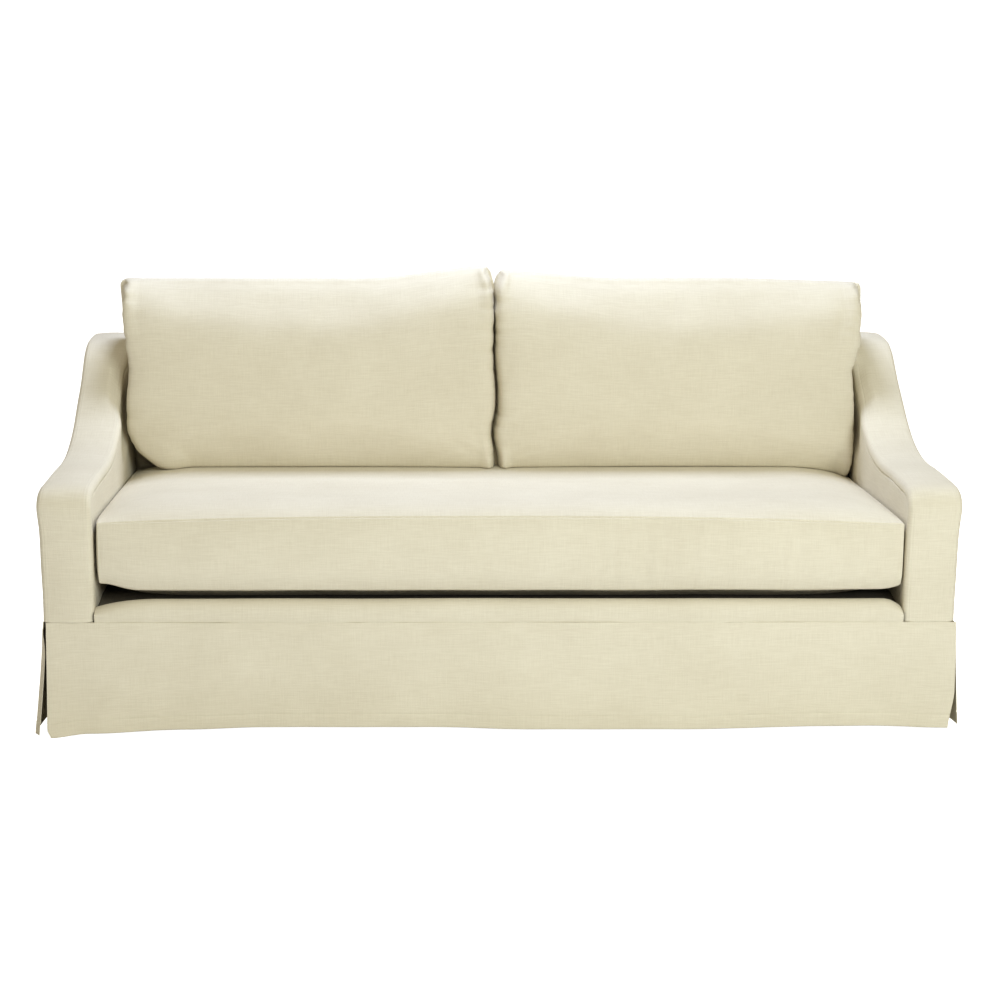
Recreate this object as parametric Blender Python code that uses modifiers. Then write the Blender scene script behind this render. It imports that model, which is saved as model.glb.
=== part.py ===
"""Fitted linen slipcover of a slope-arm sofa, with its bench seat cushion and two back cushions.

Metres, +Z up. The front of the sofa faces -Y and the cover's box stands centred on the origin. The sofa
itself is left out: the cover is a set of thin panels that keep the shape of the frame they are fitted over.
"Behind" is a distance back from the front of the arms, and "out" a distance from the middle plane.
"""

import math
from collections import namedtuple

import bmesh
import bpy
from mathutils import Vector

# Cloth
SHEET = 0.002  # a cloth panel with its doubled seam allowances
SEAM = 0.0003  # open slit between two panels that are sewn together

# Body of the cover
OUTER = 1.015  # middle plane to the outside of an arm
INNER = 0.900  # middle plane to the inside of an arm
BODY_DEPTH = 0.885  # front of the arms to the outside back
OVERALL_DEPTH = 0.9349  # with the flare of the skirt, front and back
FRONT_FLARE = 0.0373  # how far the skirt's left corner stands in front of the arms
FRONT_Y = FRONT_FLARE - OVERALL_DEPTH / 2
BACK_TOP = 0.801  # height of the back and of the arms where they join it
SKIRT_SEAM = 0.256  # height of the seam that carries the skirt
EDGE_ROUND = 0.014  # soft corner along both sides of an arm's boxing strip
EDGE_LIP = 0.006  # how far the strip runs on, down the side, to its seam
STRIP_CROWN = 0.003
REAR_ROUND = 0.035  # bend of the strips and the inside back over the rear edge
REAR_LIP = 0.008  # how far they run on, down the back, to their seam
REAR_SEAM = BACK_TOP - REAR_ROUND - REAR_LIP
CORNER_LIP = 0.008  # how far an outside arm runs on along the back, past the rear corner

# Seat deck
DECK = 0.291  # height of the deck under the seat cushion
DECK_START = 0.140  # behind, where the front band ends

# Arm in side view, from the skirt's seam up the front, round, and back up the slope
ArmPoint = namedtuple("ArmPoint", "behind height")
ARM_FRONT = (
    ArmPoint(0.000, SKIRT_SEAM + SEAM / 2),
    ArmPoint(0.001, 0.340),
    ArmPoint(0.000, 0.420),
    ArmPoint(-0.004, 0.480),
    ArmPoint(-0.007, 0.512),
)
ARM_TOP = (
    ArmPoint(-0.007, 0.512),
    ArmPoint(-0.001, 0.535),
    ArmPoint(0.014, 0.5515),
    ArmPoint(0.038, 0.5595),
    ArmPoint(0.085, 0.5625),
    ArmPoint(0.190, 0.5655),
    ArmPoint(0.300, 0.5675),
    ArmPoint(0.380, 0.5780),
    ArmPoint(0.440, 0.5960),
    ArmPoint(0.505, 0.6300),
    ArmPoint(0.567, 0.6720),
    ArmPoint(0.630, 0.7170),
    ArmPoint(0.675, 0.7520),
    ArmPoint(0.710, 0.7770),
    ArmPoint(0.745, 0.7935),
    ArmPoint(0.790, 0.8000),
    ArmPoint(BODY_DEPTH - REAR_ROUND, BACK_TOP),
)

# Inside back in side view, from the deck up and over to its rear bend
BackPoint = namedtuple("BackPoint", "behind height")
INSIDE_BACK = (
    BackPoint(0.745, DECK + SEAM),
    BackPoint(0.7575, 0.500),
    BackPoint(0.7710, 0.740),
    BackPoint(0.7740, 0.772),
    BackPoint(0.7860, 0.7930),
    BackPoint(0.8100, 0.8000),
    BackPoint(BODY_DEPTH - REAR_ROUND, BACK_TOP),
)

# Front band in side view: a roll between the skirt's seam and the deck
BandPoint = namedtuple("BandPoint", "behind height")
FRONT_BAND = (
    BandPoint(0.0000, SKIRT_SEAM + SEAM / 2),
    BandPoint(-0.0035, 0.274),
    BandPoint(-0.0010, 0.291),
    BandPoint(0.0080, 0.3010),
    BandPoint(0.0240, 0.3050),
    BandPoint(0.0450, 0.3010),
    BandPoint(0.0750, 0.2940),
    BandPoint(DECK_START, DECK),
)
BAND_END_DIP = 0.023  # how far the roll drops beside the arms
BAND_END_RUN = 0.060

# Skirts: how far the cloth stands off the body at the hem, and how high the hem hangs
SkirtPoint = namedtuple("SkirtPoint", "at flare hem")
SKIRT_STEP = 0.003  # how far the skirt stands off just below its seam
SKIRT_STEP_DROP = 0.12  # share of the drop in which it does
SKIRT_CURVE = 1.3  # above 1, the flare grows towards the hem
FRONT_SKIRT = (
    SkirtPoint(-1.010, 0.0345, 0.0005),
    SkirtPoint(-0.920, 0.0200, 0.006),
    SkirtPoint(-0.710, 0.0060, 0.011),
    SkirtPoint(-0.530, 0.0010, 0.015),
    SkirtPoint(-0.170, 0.0010, 0.015),
    SkirtPoint(0.090, 0.0070, 0.011),
    SkirtPoint(0.450, 0.0080, 0.011),
    SkirtPoint(0.720, 0.0010, 0.016),
    SkirtPoint(0.860, 0.0010, 0.016),
    SkirtPoint(1.016, 0.0060, 0.013),
)
LEFT_SKIRT = (
    SkirtPoint(0.000, 0.0180, 0.004),
    SkirtPoint(0.150, 0.0090, 0.010),
    SkirtPoint(0.350, 0.0050, 0.013),
    SkirtPoint(0.600, 0.0080, 0.011),
    SkirtPoint(BODY_DEPTH, 0.0140, 0.006),
)
RIGHT_SKIRT = (
    SkirtPoint(0.000, 0.0150, 0.019),
    SkirtPoint(0.120, 0.0100, 0.014),
    SkirtPoint(0.400, 0.0050, 0.012),
    SkirtPoint(0.650, 0.0090, 0.012),
    SkirtPoint(BODY_DEPTH, 0.0180, 0.007),
)
BACK_SKIRT = (
    SkirtPoint(-1.010, 0.0095, 0.005),
    SkirtPoint(-0.600, 0.0040, 0.012),
    SkirtPoint(0.000, 0.0070, 0.010),
    SkirtPoint(0.550, 0.0030, 0.013),
    SkirtPoint(1.010, 0.0095, 0.006),
)
SKIRT_ROWS = (0.0, 0.06, 0.22, 0.48, 0.75, 1.0)  # shares of the drop
SKIRT_END = 1.008  # middle plane to the end of the front and back skirts
RIGHT_SKIRT_END = 1.018
SKIRT_SPREAD = 0.004  # how much further out the front skirt's ends are at the hem
RIGHT_CORNER_IN = 0.014  # how far its right corner swings back in at the hem
UNDERLAY_LEG = 0.150  # each way from its corner
UNDERLAY_LEGS = (1.0, 0.45)  # places along a leg, as shares from its far end
UNDERLAY_ANGLES = (0, 30, 60, 90)  # degrees round the corner
UNDERLAY_ROUND = 0.015
UNDERLAY_TUCK = 0.008  # how far it hangs inside the skirt at the hem
UNDERLAY_SHORT = 0.002  # how much higher its hem is than the skirt's

# Seat cushion: one bench with a boxing band
SEAT_HALF = 0.8955
SEAT_DEPTH = 0.738
SEAT_SEAM_TOP = 0.4785
SEAT_SEAM_BOTTOM = 0.3235
SEAT_CORNER_LIFT = 0.014
SEAT_REAR_DROP = 0.011  # how much lower its top seam runs at the rear
SEAT_TOP = 0.497  # crown, flat where the back cushions rest
SEAT_FRONT_SWELL = 0.010

# Back cushions: knife-edged, with small ears, leaning on the inside back
CUSHION_FRONT = 0.072  # fullness in front of the sewn edge
CUSHION_REAR = 0.120  # and behind it, pressed flat by the inside back
CUSHION_SEAM = 0.004  # half of the thickness of the sewn edge
CUSHION_FOOT = 0.628  # behind, the sewn edge at the bottom
CUSHION_LEAN = 0.046  # how much further behind it is at the top
CUSHION_TOP = 0.9590
CUSHION_EAR = 0.013  # how far an outer top corner points outwards
CUSHION_SAG = 0.030  # how far the foot of the filling is pressed into the seat's plane
CUSHION_CORNER = 0.004  # how far the two lower corners are drawn in and up
BACK_LEAN = 0.0560  # run of the inside back for each metre of rise
BackCushion = namedtuple("BackCushion", "name left right left_rise right_rise")
BACK_CUSHIONS = (
    BackCushion("back_cushion_left", -0.8990, 0.0080, 0.000, 0.030),
    BackCushion("back_cushion_right", 0.0115, 0.8990, 0.019, -0.008),
)

COLLECTION = "sofa_slipcover"
LINEN = (0.80, 0.755, 0.66, 1.0)
LINEN_ROUGHNESS = 0.92


def eased(share):
    """A share of 0 to 1, held at its ends and smooth between them."""
    share = min(max(share, 0.0), 1.0)
    return share * share * (3.0 - 2.0 * share)


def rear_bend():
    """The quarter turn over the rear edge, after its first point, and the lip below it."""
    behind, height = BODY_DEPTH - REAR_ROUND, BACK_TOP - REAR_ROUND
    turns = [math.radians(angle) for angle in (30, 60, 90)]
    bend = [(behind + REAR_ROUND * math.sin(turn), height + REAR_ROUND * math.cos(turn)) for turn in turns]
    return bend + [(BODY_DEPTH, REAR_SEAM)]


def table_value(rows, at, column):
    """A column of a skirt table at any place between its rows, eased from row to row."""
    if at <= rows[0].at:
        return getattr(rows[0], column)
    for start, end in zip(rows, rows[1:]):
        if at <= end.at:
            share = eased((at - start.at) / (end.at - start.at))
            return getattr(start, column) + share * (getattr(end, column) - getattr(start, column))
    return getattr(rows[-1], column)


def clear_scene():
    for old in list(bpy.data.objects):
        bpy.data.objects.remove(old)


def linen(name):
    """Undyed woven linen, matt and cream."""
    material = bpy.data.materials.new(name + "_linen")
    material.use_nodes = True
    shader = material.node_tree.nodes["Principled BSDF"]
    shader.inputs["Base Color"].default_value = LINEN
    shader.inputs["Roughness"].default_value = LINEN_ROUGHNESS
    shader.inputs["Metallic"].default_value = 0.0
    return material


def add_object(name, mesh, parent):
    """Turns a bmesh into a smooth-shaded object of the cover."""
    data = bpy.data.meshes.new(name)
    mesh.to_mesh(data)
    mesh.free()
    data.shade_smooth()
    data.materials.append(linen(name))
    piece = bpy.data.objects.new(name, data)
    bpy.data.collections[COLLECTION].objects.link(piece)
    piece.parent = parent
    return piece


def panel(name, columns, rows, place, facing, parent):
    """One cloth panel: a grid of columns x rows points, each put at place(column, row), then given its
    thickness on the side away from facing."""
    mesh = bmesh.new()
    bmesh.ops.create_grid(mesh, x_segments=columns - 1, y_segments=rows - 1, size=0.5)
    for point in mesh.verts:
        column = round((point.co.x + 0.5) * (columns - 1))
        row = round((point.co.y + 0.5) * (rows - 1))
        point.co = place(column, row)
    mesh.normal_update()
    middle = sum((face.normal * face.calc_area() for face in mesh.faces), Vector())
    if middle.dot(Vector(facing)) < 0:
        bmesh.ops.reverse_faces(mesh, faces=mesh.faces)
    piece = add_object(name, mesh, parent)
    wall = piece.modifiers.new("cloth", "SOLIDIFY")
    wall.thickness = SHEET
    wall.offset = -1
    wall.use_even_offset = True
    return piece


def arm_swell(behind, height):
    """How far the padded arm pushes its cover out: a little all over, and more at the top of the front."""
    rear_fade = 1 - eased((behind - 0.55) / 0.25)
    crown = 0.0015 * math.sin(math.pi * min(max((height - SKIRT_SEAM) / 0.32, 0.0), 1.0))
    knob = 0.0045 * math.exp(-(((height - 0.520) / 0.045) ** 2)) * (1 - eased(behind / 0.30))
    return rear_fade * crown + knob


def strip_line():
    """The arm's line as (behind, height) points: up its front, and from there to the end of the rear bend."""
    return list(ARM_FRONT), list(ARM_TOP) + rear_bend()


def strip_normals(line):
    """The outward direction in side view at each point of the arm's line."""
    normals = []
    for i in range(len(line)):
        before, after = line[max(i - 1, 0)], line[min(i + 1, len(line) - 1)]
        run = Vector((after[0] - before[0], after[1] - before[1])).normalized()
        normals.append(Vector((-run.y, run.x)))
    return normals


def strip_section(behind):
    """The strip across its width as (out, rise) points, from its outside seam to its inside seam. The inside
    edge unrolls to flat where the strip meets the back."""
    length = EDGE_ROUND * math.pi / 2 + EDGE_LIP
    rolled = 1 - eased((behind - 0.700) / 0.060)
    stops = (length, length - EDGE_LIP, EDGE_ROUND * math.pi / 4, 0.0)

    def edge(stop, roll):
        bend = min(stop / EDGE_ROUND, math.pi / 2)
        lip = max(stop - EDGE_ROUND * math.pi / 2, 0.0)
        inset = roll * EDGE_ROUND * (1 - math.sin(bend)) + (1 - roll) * EDGE_ROUND * (1 - stop / length)
        return inset, -roll * (EDGE_ROUND * (1 - math.cos(bend)) + lip)

    outer = [(OUTER - inset, rise) for inset, rise in (edge(stop, 1.0) for stop in stops)]
    inner = [(INNER + inset, rise) for inset, rise in (edge(stop, rolled) for stop in reversed(stops))]
    wide = outer[-1][0] - inner[0][0]
    middle = [(outer[-1][0] - wide * share, STRIP_CROWN * 4 * share * (1 - share)) for share in (0.33, 0.67)]
    return outer + middle + inner


def strip_grid():
    """Every point of a strip as (out, behind, height), in rows along the arm's line, with the outward
    direction in side view at each row, and the row where the front ends and the top begins."""
    front, top = strip_line()
    line = front[:-1] + top
    normals = strip_normals(line)
    grid = []
    for (behind, height), normal in zip(line, normals):
        row = []
        for out, rise in strip_section(behind):
            place = Vector((behind, height)) + normal * rise
            share = (out - INNER) / (OUTER - INNER)
            row.append((out + arm_swell(place.x, place.y) * share, place.x, place.y))
        grid.append(row)
    return grid, normals, len(front) - 1


def arm_strip(name, side, parent):
    """Boxing strip of one arm: up its front, along its top and down over the rear edge, with soft corners."""
    grid, _, _ = strip_grid()

    def place(column, row):
        out, behind, height = grid[column][row]
        return side * out, FRONT_Y + behind, height

    return panel(name, len(grid), len(grid[0]), place, (0, -1, 1), parent)


def hung_from_strip(edge, turn, foot):
    """Points of a panel that fills the side of an arm under one edge of its strip. edge holds the strip's
    seam, and turn is the place in it where the front ends and the top begins."""
    front, top = edge[: turn + 1], edge[turn:]
    corner, rear = top[0], top[-1]
    rows = [(point[2] - foot) / (corner[2] - foot) for point in front]
    rows[0] = 0.0

    def place(column, row):
        out, behind, height = top[column]
        even = corner[1] + (rear[1] - corner[1]) * column / (len(top) - 1)
        behind += 0.5 * (1 - rows[row]) * (even - behind)
        fade = 1 - eased((even - corner[1]) / 0.15)
        behind += fade * (front[row][1] - corner[1])
        return out, behind, foot + rows[row] * (height - foot)

    return place, len(top), len(rows)


def seam_of(points, normals, slit):
    """The strip's seam moved off it by a slit's width, so that the next panel starts across the slit."""
    return [
        (out, behind - normal.x * slit, height - normal.y * slit)
        for (out, behind, height), normal in zip(points, normals)
    ]


def outside_arm(name, side, parent):
    """Flat panel on the outside of an arm. It turns the rear corner and ends on the back."""
    grid, normals, turn = strip_grid()
    seam = seam_of([row[0] for row in grid], normals, SEAM)
    out, behind, _ = seam[-1]
    seam[-1] = (out, behind, REAR_SEAM - SEAM)
    hung, flat_columns, rows = hung_from_strip(seam, turn, SKIRT_SEAM + SEAM / 2)
    corner = [(out, behind) for out, behind, _ in grid[-1][1:4]]
    corner.append((corner[-1][0] - CORNER_LIP, BODY_DEPTH))

    def place(column, row):
        _, behind, height = hung(min(column, flat_columns - 1), row)
        out = OUTER + arm_swell(behind, height)
        if column >= flat_columns:
            out, behind = corner[column - flat_columns]
        return side * out, FRONT_Y + behind, height

    return panel(name, flat_columns + len(corner), rows, place, (side, 0, 0), parent)


def inside_arm(name, side, parent):
    """Panel on the inside of an arm, from below the deck up to the strip and back behind the inside back."""
    grid, normals, turn = strip_grid()
    edge = [row[-1] for row in grid if row[-1][1] < INSIDE_BACK[4].behind]
    seam = [
        (INNER, behind, height - SHEET * eased((behind - 0.690) / 0.030))
        for _, behind, height in seam_of(edge, normals, SEAM)
    ]
    hung, columns, rows = hung_from_strip(seam, turn, SKIRT_SEAM + SEAM / 2)

    def place(column, row):
        out, behind, height = hung(column, row)
        return side * out, FRONT_Y + behind, height

    return panel(name, columns, rows, place, (-side, 0, 0), parent)


def between_arms(name, line, columns, lift, facing, parent):
    """A panel that runs from arm to arm, following a line in side view that lift may move up or down."""
    half = INNER - SEAM

    def place(column, row):
        share = 2 * column / (columns - 1) - 1
        out = half * math.sin(share * math.pi / 2)
        behind, height = line[row]
        return out, FRONT_Y + behind, height + lift(out, behind, height)

    return panel(name, columns, len(line), place, facing, parent)


def front_band(parent):
    """Roll along the front of the deck, dropping at its ends to tuck in beside the arms."""

    def dip(out, behind, height):
        end = eased((abs(out) - (INNER - BAND_END_RUN)) / BAND_END_RUN)
        rise = (height - FRONT_BAND[1].height) / (FRONT_BAND[4].height - FRONT_BAND[1].height)
        return -BAND_END_DIP * end * eased(rise) * (1 - eased(behind / DECK_START))

    return between_arms("front_band", FRONT_BAND, 19, dip, (0, -1, 1), parent)


def deck(parent):
    """Plain platform under the seat cushion."""
    front, rear = DECK_START + SEAM, INSIDE_BACK[0].behind + SHEET
    line = [(front + (rear - front) * step / 4, DECK) for step in range(5)]
    return between_arms("deck", line, 9, level, (0, 0, 1), parent)


def level(out, behind, height):
    """The line in side view is the same all along the panel."""
    return 0.0


def inside_back(parent):
    """Panel behind the back cushions, which also covers the top of the back and its rear edge."""
    line = list(INSIDE_BACK) + rear_bend()
    return between_arms("inside_back", line, 13, level, (0, -1, 1), parent)


def outside_back(parent):
    """Plain panel over the whole back, between the two outside arms."""
    half = OUTER - EDGE_ROUND - CORNER_LIP - SEAM
    foot, top = SKIRT_SEAM + SEAM / 2, REAR_SEAM - SEAM

    def place(column, row):
        out = half * (column / 6 - 1)
        return out, FRONT_Y + BODY_DEPTH, foot + (top - foot) * row / 4

    return panel("outside_back", 13, 5, place, (0, 1, 0), parent)


def skirt_drop(height):
    """Share of the way from the skirt's seam to the floor."""
    return 1 - height / SKIRT_SEAM


def stand_off(height, flare):
    """How far a skirt stands off the body at a height, for its flare at the hem."""
    drop = skirt_drop(height)
    return SEAM + SKIRT_STEP * eased(drop / SKIRT_STEP_DROP) + flare * drop**SKIRT_CURVE


def hang(rows, at, row):
    """(height, flare) of a skirt at a place along it and a row down it."""
    hem = table_value(rows, at, "hem")
    top = SKIRT_SEAM - SEAM / 2
    return top - SKIRT_ROWS[row] * (top - hem), table_value(rows, at, "flare")


def front_skirt(parent):
    """Front skirt panel. It swings forward at its left corner and closes in at its right one."""
    columns = 37

    def place(column, row):
        share = column / (columns - 1)
        at = -SKIRT_END + share * (SKIRT_END + RIGHT_SKIRT_END)
        height, flare = hang(FRONT_SKIRT, at, row)
        drop = skirt_drop(height)
        at += SKIRT_SPREAD * drop * (share**8 - (1 - share) ** 8)
        at -= RIGHT_CORNER_IN * eased((drop - 0.60) / 0.40) * share**8
        return at, FRONT_Y - stand_off(height, flare), height

    return panel("skirt_front", columns, len(SKIRT_ROWS), place, (0, -1, 0), parent)


def side_table(side):
    return LEFT_SKIRT if side < 0 else RIGHT_SKIRT


def side_skirt(name, side, parent):
    """Skirt panel along one side, flaring at both of its ends."""
    columns = 17
    swing = FRONT_SKIRT[0].flare if side < 0 else FRONT_SKIRT[-1].flare

    def place(column, row):
        share = column / (columns - 1)
        at = 0.004 + share * (BODY_DEPTH - 0.008)
        height, flare = hang(side_table(side), at, row)
        at -= swing * skirt_drop(height) ** SKIRT_CURVE * (1 - share) ** 8
        return side * (OUTER + stand_off(height, flare)), FRONT_Y + at, height

    return panel(name, columns, len(SKIRT_ROWS), place, (side, 0, 0), parent)


def back_skirt(parent):
    """Skirt panel along the back."""
    columns = 17

    def place(column, row):
        at = SKIRT_END * (2 * column / (columns - 1) - 1)
        height, flare = hang(BACK_SKIRT, at, row)
        return at, FRONT_Y + BODY_DEPTH + stand_off(height, flare), height

    return panel("skirt_back", columns, len(SKIRT_ROWS), place, (0, 1, 0), parent)


def underlay(name, side, end, parent):
    """Corner piece behind the slit between two skirts: a strip folded round the corner, sewn in at its top."""
    rows = 4
    plan = (
        [(leg * UNDERLAY_LEG, 0) for leg in UNDERLAY_LEGS]
        + [(0, angle) for angle in UNDERLAY_ANGLES]
        + [(leg * UNDERLAY_LEG, 90) for leg in reversed(UNDERLAY_LEGS)]
    )
    long_skirt = FRONT_SKIRT if end == "front" else BACK_SKIRT

    def place(column, row):
        drop = row / (rows - 1)
        inset = SHEET + UNDERLAY_TUCK * drop
        leg, angle = plan[column][0], math.radians(plan[column][1])
        out = OUTER - inset - UNDERLAY_ROUND * (1 - math.sin(angle)) - (leg if angle == 0 else 0)
        inward = inset + UNDERLAY_ROUND * (1 - math.cos(angle)) + (leg if angle > 0 else 0)
        behind = inward if end == "front" else BODY_DEPTH - inward
        hems = (table_value(long_skirt, side * out, "hem"), table_value(side_table(side), behind, "hem"))
        top, hem = SKIRT_SEAM - SEAM / 2, max(hems) + UNDERLAY_SHORT
        return side * out, FRONT_Y + behind, top - drop * (top - hem)

    facing = (side, -1 if end == "front" else 1, 0)
    return panel(name, len(plan), rows, place, facing, parent)


def block(cuts):
    """A cube of half size 1, cut this many times along each axis."""
    mesh = bmesh.new()
    bmesh.ops.create_cube(mesh, size=2)
    for axis in range(3):
        along = [edge for edge in mesh.edges if abs((edge.verts[0].co - edge.verts[1].co)[axis]) > 0.5]
        if cuts[axis]:
            bmesh.ops.subdivide_edges(mesh, edges=along, cuts=cuts[axis], use_grid_fill=True)
    return mesh


def plateau(across, along):
    """1 over the middle of the seat cushion's face, falling to 0 at its edges. It is flatter at the rear."""
    return min(1.0, 1.12 * (1 - abs(across) ** 12) * (1 - abs(along) ** (12 if along > 0 else 7)))


def seat_cushion(parent):
    """Bench cushion: crowned top, boxing band at the sides, and a belly that rests on the deck."""
    mesh = block((19, 9, 2))
    for point in mesh.verts:
        across = math.sin(point.co.x * math.pi / 2)
        along = math.sin(point.co.y * math.pi / 2)
        level = point.co.z
        full = plateau(across, along)
        front = eased((1 - along) / 2)
        corner = eased((abs(across) - 0.91) / 0.08) * front
        behind = SEAT_DEPTH * (along + 1) / 2
        rest = full * eased(behind / DECK_START)
        top_seam = SEAT_SEAM_TOP - SEAT_REAR_DROP * (1 - front)
        foot_seam = SEAT_SEAM_BOTTOM + SEAT_CORNER_LIFT * corner
        top = top_seam + (SEAT_TOP - top_seam) * full
        foot = foot_seam - (foot_seam - DECK - SEAM) * rest
        height = foot + (top - foot) * (level + 1) / 2
        belly = 1 - level * level
        half = SEAT_HALF + 0.002 * eased((along + 1) / 2)
        out = across * half * (1 - 0.007 * abs(along) ** 14)
        behind -= SEAT_FRONT_SWELL * belly * abs(min(along, 0)) ** 8 * (1 - abs(across) ** 8)
        behind -= 0.006 * along * abs(across) ** 14
        point.co = (out, FRONT_Y + behind, height)
    return add_object("seat_cushion", mesh, parent)


def cushion_full(across, upward):
    """Share of the fullness of a back cushion over its face, fuller low down."""
    side = (1 - abs(across) ** 5) ** 0.55
    tall = math.sin(math.pi * ((upward + 1) / 2) ** 0.80) ** 0.55 if abs(upward) < 1 else 0.0
    return side * tall


def back_cushion(row, parent):
    """Knife-edged cushion standing on the seat cushion and leaning on the inside back."""
    mesh = block((15, 0, 11))
    middle, half = (row.left + row.right) / 2, (row.right - row.left) / 2
    foot = SEAT_TOP + SEAM
    for point in mesh.verts:
        across = math.sin(point.co.x * math.pi / 2)
        upward = math.sin(point.co.z * math.pi / 2)
        fullest = CUSHION_FRONT if point.co.y < 0 else CUSHION_REAR
        thick = CUSHION_SEAM + (fullest - CUSHION_SEAM) * cushion_full(across, upward)
        rise = row.left_rise * eased(-across * 1.4 - 0.4) + row.right_rise * eased(across * 1.4 - 0.4)
        top = CUSHION_TOP + rise
        bottom = foot - CUSHION_SAG * (1 - across**4) + CUSHION_CORNER * abs(across) ** 16
        height = bottom + (top - bottom) * (upward + 1) / 2
        draw_in = 0.001 + CUSHION_CORNER * abs(min(upward, 0)) ** 6
        out = middle + across * (half - draw_in)
        ear = eased((height - BACK_TOP - 0.03) / 0.10)
        out += across * abs(across) ** 6 * ear * (CUSHION_EAR if across * middle > 0 else 0.0)
        lean = CUSHION_LEAN * (height - foot) / (CUSHION_TOP - foot)
        behind = CUSHION_FOOT + lean + point.co.y * thick
        rest = INSIDE_BACK[0].behind + (height - DECK) * BACK_LEAN - 0.0008
        behind = min(behind, rest)
        point.co = (out, FRONT_Y + behind, max(height, foot))
    return add_object(row.name, mesh, parent)


def build():
    clear_scene()
    collection = bpy.data.collections.new(COLLECTION)
    bpy.context.scene.collection.children.link(collection)
    cover = bpy.data.objects.new("slipcover_centre", None)
    collection.objects.link(cover)
    for side, word in ((-1, "left"), (1, "right")):
        arm_strip("arm_strip_" + word, side, cover)
        outside_arm("outside_arm_" + word, side, cover)
        inside_arm("inside_arm_" + word, side, cover)
        side_skirt("skirt_" + word, side, cover)
        for end in ("front", "back"):
            underlay("underlay_" + end + "_" + word, side, end, cover)
    front_band(cover)
    deck(cover)
    inside_back(cover)
    outside_back(cover)
    front_skirt(cover)
    back_skirt(cover)
    seat_cushion(cover)
    for row in BACK_CUSHIONS:
        back_cushion(row, cover)


build()
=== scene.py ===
import math
from collections import namedtuple

import bmesh
import bpy
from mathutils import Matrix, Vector, noise


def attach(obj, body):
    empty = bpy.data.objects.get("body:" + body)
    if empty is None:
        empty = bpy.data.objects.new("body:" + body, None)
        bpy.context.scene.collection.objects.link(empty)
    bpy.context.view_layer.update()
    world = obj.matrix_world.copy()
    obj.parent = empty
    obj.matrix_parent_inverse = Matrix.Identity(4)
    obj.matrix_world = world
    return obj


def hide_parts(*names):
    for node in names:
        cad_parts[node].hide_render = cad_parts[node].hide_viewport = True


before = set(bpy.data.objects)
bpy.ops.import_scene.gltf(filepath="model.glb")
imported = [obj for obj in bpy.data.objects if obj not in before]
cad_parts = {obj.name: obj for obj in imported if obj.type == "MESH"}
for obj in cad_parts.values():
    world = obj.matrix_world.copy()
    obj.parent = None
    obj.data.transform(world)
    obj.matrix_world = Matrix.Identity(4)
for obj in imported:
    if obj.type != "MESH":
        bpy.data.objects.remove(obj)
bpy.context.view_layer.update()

# Arm boxing strips
# One strip of slubby cream linen for each arm runs up its front, round the top corner, back along the
# arm, up the slope and over the rear edge. Its seams lie just inside the padded edges, with no piping.

SIDES = (("left", -1), ("right", 1))
OUTER = 1.015  # middle plane to the outside of an arm
INNER = 0.900  # middle plane to the inside of an arm
DEPTH = 0.885  # front of the arms to the outside back
FRONT_Y = -0.43015
BACK_TOP = 0.801
SKIRT_SEAM = 0.256  # heights of the seam that the skirt hangs from, and of the seam across the rear
REAR_SEAM = 0.758
REAR_ROUND = 0.035
EDGE_ROUND = 0.014  # soft corner along both sides of a strip
EDGE_LENGTH = 0.028  # from where it starts to the strip's end, down the side
EDGE_SEAM = 0.003  # from where it starts to the seam
STRIP_CROWN = 0.003
CLOTH = 0.0016
SEAM_WIDE = 0.0022
SEAM_DEEP = 0.0012
FLAT_SEAM_DEEP = 0.0003

SidePoint = namedtuple("SidePoint", "behind height")
ARM_LINE = (
    SidePoint(0.000, 0.256),
    SidePoint(0.001, 0.340),
    SidePoint(0.000, 0.420),
    SidePoint(-0.004, 0.480),
    SidePoint(-0.007, 0.512),
    SidePoint(-0.001, 0.535),
    SidePoint(0.014, 0.5515),
    SidePoint(0.038, 0.5595),
    SidePoint(0.085, 0.5625),
    SidePoint(0.190, 0.5655),
    SidePoint(0.300, 0.5675),
    SidePoint(0.380, 0.5780),
    SidePoint(0.440, 0.5960),
    SidePoint(0.505, 0.6300),
    SidePoint(0.567, 0.6720),
    SidePoint(0.630, 0.7170),
    SidePoint(0.675, 0.7520),
    SidePoint(0.710, 0.7770),
    SidePoint(0.745, 0.7935),
    SidePoint(0.790, 0.8000),
)
REAR_BEND = tuple(
    SidePoint(
        DEPTH - REAR_ROUND + REAR_ROUND * math.sin(math.radians(turn)),
        BACK_TOP - REAR_ROUND + REAR_ROUND * math.cos(math.radians(turn)),
    )
    for turn in (0, 30, 60, 90)
) + (SidePoint(DEPTH, REAR_SEAM),)

Crease = namedtuple("Crease", "from_u from_v to_u to_v width depth")


def eased(share):
    """A share of 0 to 1, held at its ends and smooth between them."""
    share = min(max(share, 0.0), 1.0)
    return share * share * (3.0 - 2.0 * share)


def bell(away, width):
    """1 on a line, falling softly to 0 within about twice the width."""
    return math.exp(-((away / width) ** 2))


def line_length(points):
    return sum(math.dist(start[:2], end[:2]) for start, end in zip(points, points[1:]))


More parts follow.
